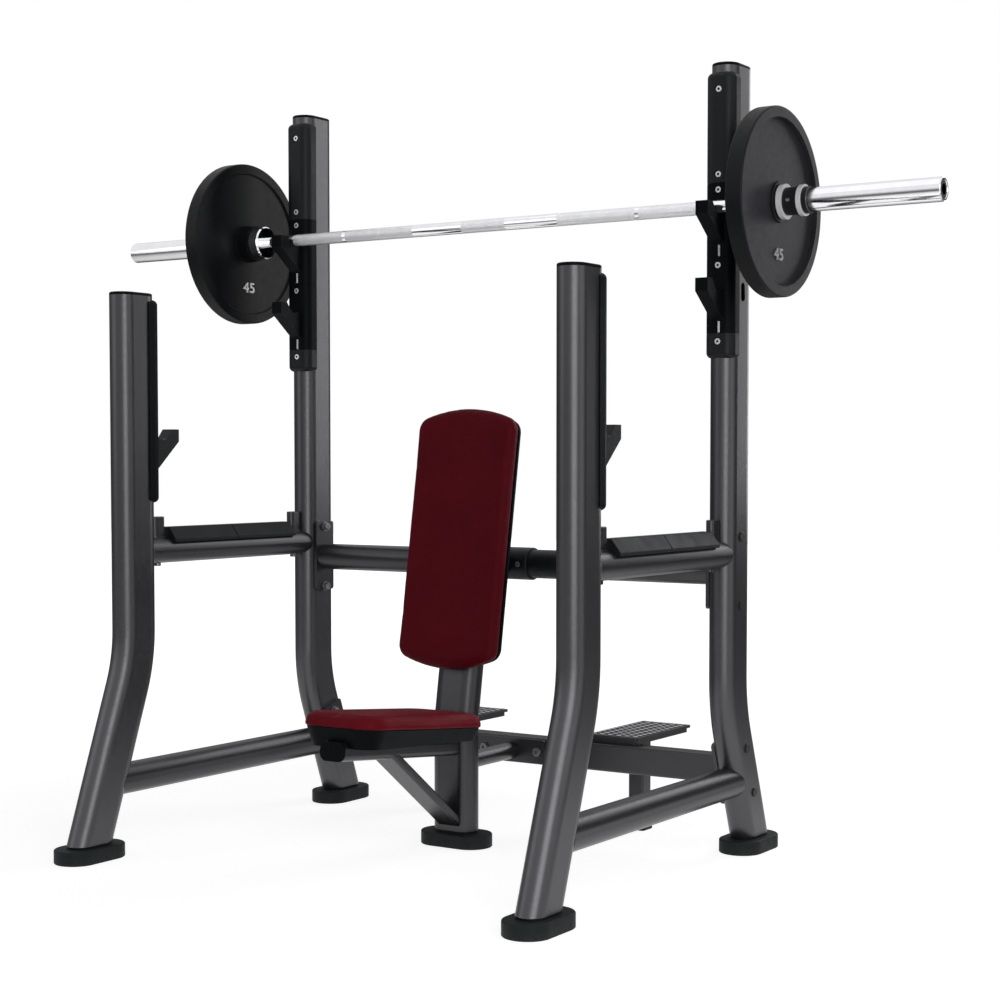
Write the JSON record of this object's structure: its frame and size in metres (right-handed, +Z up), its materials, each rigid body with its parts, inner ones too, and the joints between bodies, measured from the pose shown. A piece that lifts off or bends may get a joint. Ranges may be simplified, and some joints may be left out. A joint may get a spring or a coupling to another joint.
{
  "type": "olympic seated press bench",
  "caption": "Seated press bench: bent uprights with bar hooks and safety rails, narrow seat, tall back pad, spotter platforms, loaded barbell.",
  "frame": {"origin": "on the floor, in the middle of the footprint", "axes": "+X along the barbell, right when facing the bench from its seat side; +Y from the seat side to the spotter side; +Z up"},
  "size_m": [2.2, 1.1918, 1.737],
  "materials": {
    "frame_paint": "satin metallic powder coat, gunmetal grey",
    "platform_paint": "satin powder coat, studs worn bright",
    "black_plastic": "fine moulded grain",
    "foot_rubber": "matte",
    "burgundy_vinyl": "fine-grained upholstery vinyl",
    "zinc_bolts": "bright zinc",
    "hard_chrome": "polished",
    "collar_steel": "polished flanges on a black body",
    "bronze": "sintered",
    "plate_iron": "satin black enamel"
  },
  "bodies": {
    "frame": {"back_cushion": "burgundy_vinyl", "back_pad_mounts": "frame_paint", "back_shell": "black_plastic", "centre_foot": "foot_rubber", "centre_post": "frame_paint", "cover_screws": "zinc_bolts", "frame_bolts": "zinc_bolts", "front_catch_left": "black_plastic", "front_catch_right": "black_plastic", "front_foot_left": "foot_rubber", "front_foot_right": "foot_rubber", "front_guard_left": "black_plastic", "front_guard_right": "black_plastic", "front_upright_left": "frame_paint", "front_upright_right": "frame_paint", "hook_end_cover_left": "black_plastic", "hook_end_cover_right": "black_plastic", "hook_top_cover_left": "black_plastic", "hook_top_cover_right": "black_plastic", "lower_crossmember": "frame_paint", "lower_hook_left": "black_plastic", "lower_hook_right": "black_plastic", "lower_side_rail_left": "frame_paint", "lower_side_rail_right": "frame_paint", "platform_feet": "foot_rubber", "platform_post_left": "platform_paint", "platform_post_right": "platform_paint", "post_clamp_sleeve": "black_plastic", "post_link_tube": "frame_paint", "rail_wear_covers_left": "black_plastic", "rail_wear_covers_right": "black_plastic", "rear_foot_left": "foot_rubber", "rear_foot_right": "foot_rubber", "rear_upright_left": "frame_paint", "rear_upright_right": "frame_paint", "safety_rail_left": "frame_paint", "safety_rail_right": "frame_paint", "seat_brace": "frame_paint", "seat_cushion": "burgundy_vinyl", "seat_pan": "black_plastic", "seat_tube": "frame_paint", "seat_tube_plug": "black_plastic", "spotter_platform_left": "platform_paint", "spotter_platform_right": "platform_paint", "upper_cross_tube": "frame_paint", "upper_hook_left": "black_plastic", "upper_hook_right": "black_plastic", "upright_caps": "black_plastic"},
    "bar": {"bar_shaft": "hard_chrome", "sleeve_bushings": "bronze", "snap_rings": "zinc_bolts"},
    "sleeve_left": {"sleeve_left": "hard_chrome", "sleeve_end_cap_left": "hard_chrome"},
    "sleeve_right": {"sleeve_right": "hard_chrome", "sleeve_end_cap_right": "hard_chrome"},
    "plate_left": {"weight_plate_left": "plate_iron"},
    "plate_right": {"weight_plate_right": "plate_iron"},
    "collar_left": {"collar_left": "collar_steel"},
    "collar_right": {"collar_right": "collar_steel"}
  },
  "joints": [
    {"name": "barbell_lift", "type": "slide", "parent": "frame", "child": "bar", "axis": [0, 0, 1], "range_m": [0, 0.3]},
    {"name": "sleeve_spin_left", "type": "hinge", "parent": "bar", "child": "sleeve_left", "pos_m": [-0.9, 0.193, 1.4215], "axis": [-1, 0, 0], "continuous": true},
    {"name": "plate_slide_left", "type": "slide", "parent": "sleeve_left", "child": "plate_left", "axis": [-1, 0, 0], "range_m": [0, 0.42]},
    {"name": "collar_slide_left", "type": "slide", "parent": "plate_left", "child": "collar_left", "axis": [-1, 0, 0], "range_m": [0, 0.36]},
    {"name": "sleeve_spin_right", "type": "hinge", "parent": "bar", "child": "sleeve_right", "pos_m": [0.9, 0.193, 1.4215], "axis": [1, 0, 0], "continuous": true},
    {"name": "plate_slide_right", "type": "slide", "parent": "sleeve_right", "child": "plate_right", "axis": [1, 0, 0], "range_m": [0, 0.42]},
    {"name": "collar_slide_right", "type": "slide", "parent": "plate_right", "child": "collar_right", "axis": [1, 0, 0], "range_m": [0, 0.36]}
  ]
}
